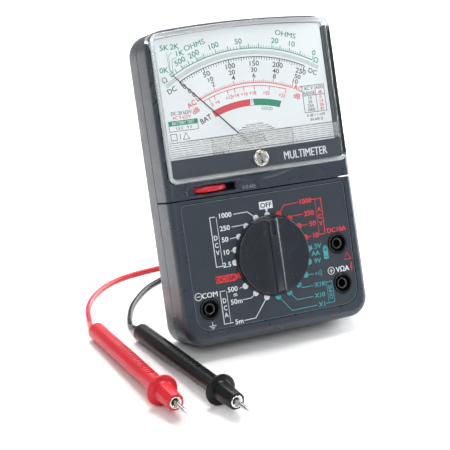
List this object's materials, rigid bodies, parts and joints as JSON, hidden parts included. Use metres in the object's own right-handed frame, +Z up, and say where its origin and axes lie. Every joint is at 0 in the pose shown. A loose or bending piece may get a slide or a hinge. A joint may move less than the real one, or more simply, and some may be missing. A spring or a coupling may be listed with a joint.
{
  "type": "analog multimeter",
  "caption": "Handheld needle multimeter leant back on a folding tilt stand, with range knob, input jacks, ohms-adjust wheel and a pair of test leads.",
  "frame": {"origin": "middle of the flat edge at the bottom of the case's back, on which the meter rests, at table height", "axes": "+Z is up from the table, +X is to the user's right along the case, -Y points to the user. The case leans back 19.1 degrees from upright, about X"},
  "size_m": [0.1633, 0.2241, 0.1518],
  "materials": {
    "case_grey": "moulded, fine matt texture",
    "legend": "matt panel with printed legends",
    "knob_black": "satin moulded",
    "jack_black": "satin moulded",
    "clear_plastic": "clear moulded acrylic",
    "dial_white": "matt white with printed scales",
    "steel": "plain",
    "nickel": "nickel plated",
    "brass": "plain",
    "copper": "enamelled copper wire",
    "iron": "plain",
    "pointer_black": "matt",
    "board_green": "solder mask",
    "beige_plastic": "moulded",
    "wheel_red": "moulded",
    "lead_red": "soft PVC",
    "lead_black": "soft PVC",
    "cell_sleeve": "plain printed sleeve",
    "fuse_glass": "clear glass"
  },
  "bodies": {
    "root": {"rear_case": "case_grey", "front_case": "case_grey", "head_frame": "case_grey", "band_cover": "case_grey", "legend_plate": "legend", "lens_cover": "clear_plastic", "dial_plate": "dial_white", "front_bridge": "beige_plastic", "movement_frame": "beige_plastic", "yoke_ring": "iron", "core_magnet": "iron", "jewel_screw": "brass", "detent_spring": "steel", "circuit_board": "board_green", "fuse": "fuse_glass", "fuse_clip_left": "brass", "fuse_clip_right": "brass", "buzzer": "jack_black", "shunt": "copper", "cell_1": "cell_sleeve", "cell_2": "cell_sleeve", "cell_contact_left": "steel", "cell_contact_right": "steel", "adjust_pot": "beige_plastic", "case_screw_left": "steel", "case_screw_right": "steel", "stand_pin": "steel", "jack_body_com": "jack_black", "jack_sleeve_com": "nickel", "jack_body_volt": "jack_black", "jack_sleeve_volt": "nickel", "jack_body_amp": "jack_black", "jack_sleeve_amp": "nickel", "probe_handle_red": "lead_red", "probe_collar_red": "nickel", "probe_pin_red": "steel", "cord_red": "lead_red", "coil_red": "lead_red", "plug_red": "lead_red", "plug_pin_red": "nickel", "probe_handle_black": "lead_black", "probe_collar_black": "nickel", "probe_pin_black": "steel", "cord_black": "lead_black", "coil_black": "lead_black", "plug_black": "lead_black", "plug_pin_black": "nickel"},
    "selector": {"selector_knob": "knob_black", "switch_rotor": "beige_plastic", "wiper_contact": "brass"},
    "needle": {"pointer": "pointer_black", "tail_weight": "brass", "pointer_shaft": "steel", "moving_coil": "copper"},
    "zero_screw": {"zero_adjust_screw": "nickel"},
    "zero_lever": {"zero_arm": "brass", "hairspring": "brass"},
    "adjust_wheel": {"ohms_adjust_wheel": "wheel_red"},
    "stand": {"tilt_stand": "case_grey"}
  },
  "joints": [
    {"name": "selector_turn", "type": "hinge", "parent": "root", "child": "selector", "pos_m": [0, -0.0119, 0.04342], "axis": [0, 0.9449, -0.3272], "continuous": true},
    {"name": "needle_swing", "type": "hinge", "parent": "root", "child": "needle", "pos_m": [0, 0.00885, 0.09265], "axis": [0, 0.9449, -0.3272], "range_deg": [-1, 89], "stiffness_Nm_per_rad": 0.001},
    {"name": "zero_screw_turn", "type": "hinge", "parent": "root", "child": "zero_screw", "pos_m": [0, 0.00371, 0.0885], "axis": [0, 0.9449, -0.3272], "range_deg": [-60, 60]},
    {"name": "zero_lever_swing", "type": "hinge", "parent": "root", "child": "zero_lever", "pos_m": [0, 0.00885, 0.09265], "axis": [0, 0.9449, -0.3272], "range_deg": [-7, 7]},
    {"name": "ohms_adjust_turn", "type": "hinge", "parent": "root", "child": "adjust_wheel", "pos_m": [-0.0275, 0.01016, 0.07441], "axis": [0, 0.3272, 0.9449], "range_deg": [-140, 140]},
    {"name": "stand_fold", "type": "hinge", "parent": "root", "child": "stand", "pos_m": [0, 0.03255, 0.07703], "axis": [1, 0, 0], "range_deg": [-26, 0]}
  ],
  "couplings": [
    {"joint": "zero_lever_swing", "follows": "zero_screw_turn", "ratio": -0.105}
  ]
}
